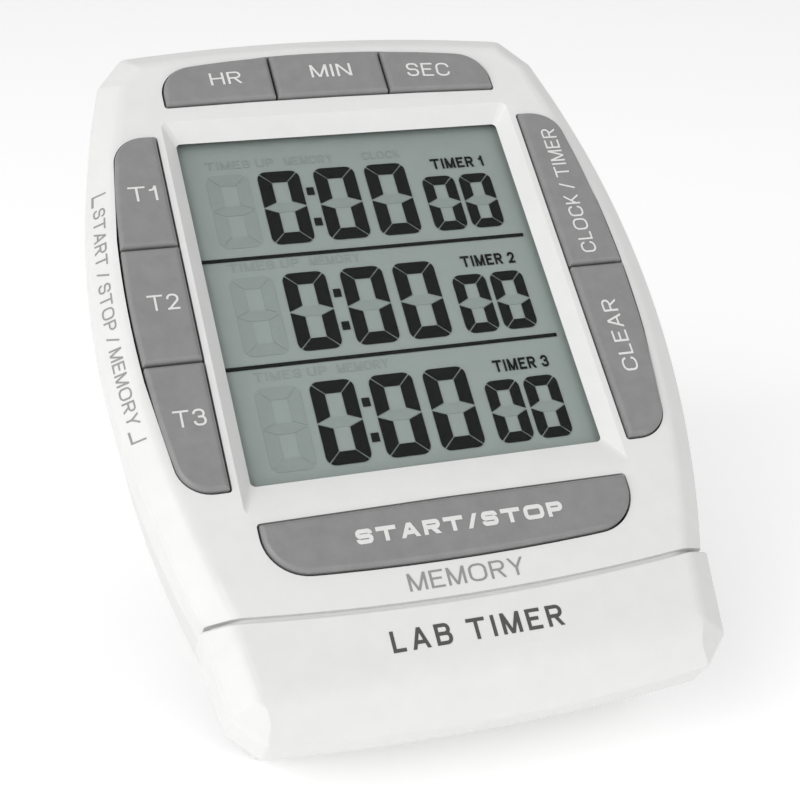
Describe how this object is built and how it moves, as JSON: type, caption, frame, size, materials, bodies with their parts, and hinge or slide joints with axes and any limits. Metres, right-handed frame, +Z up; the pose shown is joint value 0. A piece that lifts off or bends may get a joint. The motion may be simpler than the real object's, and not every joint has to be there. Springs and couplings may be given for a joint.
{
  "type": "lab timer",
  "caption": "Free-standing lab countdown timer with a large display, sprung keys round it, a sliding battery door and a fold-out stand.",
  "frame": {"origin": "centre of the overall box's underside, on the table the timer stands on", "axes": "+X to the timer's right as a user faces it, +Y away from the user, +Z up; the face leans back 49 degrees from upright and looks along (0, -0.656, 0.755)"},
  "size_m": [0.069, 0.0794, 0.0719],
  "materials": {
    "casing_plastic": "satin, finely moulded",
    "rear_plastic": "satin, finely moulded",
    "key_plastic": "satin",
    "window_plastic": "clear, semi-gloss",
    "display": "semi-gloss grey-green",
    "dark_plastic": "matt",
    "contact_rubber": "matt",
    "mat_rubber": "matt, translucent",
    "board": "solder-masked",
    "potting": "semi-gloss",
    "plated_steel": "bright plated",
    "brass_disc": "satin",
    "cell_wrap": "gloss"
  },
  "bodies": {
    "casing": {"front_shell": "casing_plastic", "lower_fascia": "casing_plastic", "rear_shell": "rear_plastic", "window_lens": "window_plastic", "lcd_panel": "display", "lcd_frame": "dark_plastic", "zebra_strips": "contact_rubber", "main_pcb": "board", "key_mat": "mat_rubber", "chip": "potting", "crystal": "plated_steel", "buzzer": "brass_disc", "battery": "cell_wrap", "battery_spring": "plated_steel", "battery_contact": "plated_steel", "magnets": "plated_steel", "case_screws": "plated_steel", "pcb_screws": "plated_steel"},
    "hr_key": {"hr_key": "key_plastic"},
    "min_key": {"min_key": "key_plastic"},
    "sec_key": {"sec_key": "key_plastic"},
    "t1_key": {"t1_key": "key_plastic"},
    "t2_key": {"t2_key": "key_plastic"},
    "t3_key": {"t3_key": "key_plastic"},
    "clock_key": {"clock_key": "key_plastic"},
    "clear_key": {"clear_key": "key_plastic"},
    "start_key": {"start_key": "key_plastic"},
    "battery_door": {"battery_door": "rear_plastic"},
    "stand": {"stand": "rear_plastic"}
  },
  "joints": [
    {"name": "hr_press", "type": "slide", "parent": "casing", "child": "hr_key", "axis": [0, 0.6561, -0.7547], "range_m": [0, 0.0008], "stiffness_N_per_m": 250, "springref_m": -0.001},
    {"name": "min_press", "type": "slide", "parent": "casing", "child": "min_key", "axis": [0, 0.6561, -0.7547], "range_m": [0, 0.0008], "stiffness_N_per_m": 250, "springref_m": -0.001},
    {"name": "sec_press", "type": "slide", "parent": "casing", "child": "sec_key", "axis": [0, 0.6561, -0.7547], "range_m": [0, 0.0008], "stiffness_N_per_m": 250, "springref_m": -0.001},
    {"name": "t1_press", "type": "slide", "parent": "casing", "child": "t1_key", "axis": [0, 0.6561, -0.7547], "range_m": [0, 0.0008], "stiffness_N_per_m": 250, "springref_m": -0.001},
    {"name": "t2_press", "type": "slide", "parent": "casing", "child": "t2_key", "axis": [0, 0.6561, -0.7547], "range_m": [0, 0.0008], "stiffness_N_per_m": 250, "springref_m": -0.001},
    {"name": "t3_press", "type": "slide", "parent": "casing", "child": "t3_key", "axis": [0, 0.6561, -0.7547], "range_m": [0, 0.0008], "stiffness_N_per_m": 250, "springref_m": -0.001},
    {"name": "clock_press", "type": "slide", "parent": "casing", "child": "clock_key", "axis": [0, 0.6561, -0.7547], "range_m": [0, 0.0008], "stiffness_N_per_m": 250, "springref_m": -0.001},
    {"name": "clear_press", "type": "slide", "parent": "casing", "child": "clear_key", "axis": [0, 0.6561, -0.7547], "range_m": [0, 0.0008], "stiffness_N_per_m": 250, "springref_m": -0.001},
    {"name": "start_press", "type": "slide", "parent": "casing", "child": "start_key", "axis": [0, 0.6561, -0.7547], "range_m": [0, 0.0008], "stiffness_N_per_m": 250, "springref_m": -0.001},
    {"name": "door_slide", "type": "slide", "parent": "casing", "child": "battery_door", "axis": [0, 0.7547, 0.6561], "range_m": [0, 0.024]},
    {"name": "stand_hinge", "type": "hinge", "parent": "casing", "child": "stand", "pos_m": [0, 0.01778, 0.03894], "axis": [1, 0, 0], "range_deg": [-62, 0]}
  ]
}
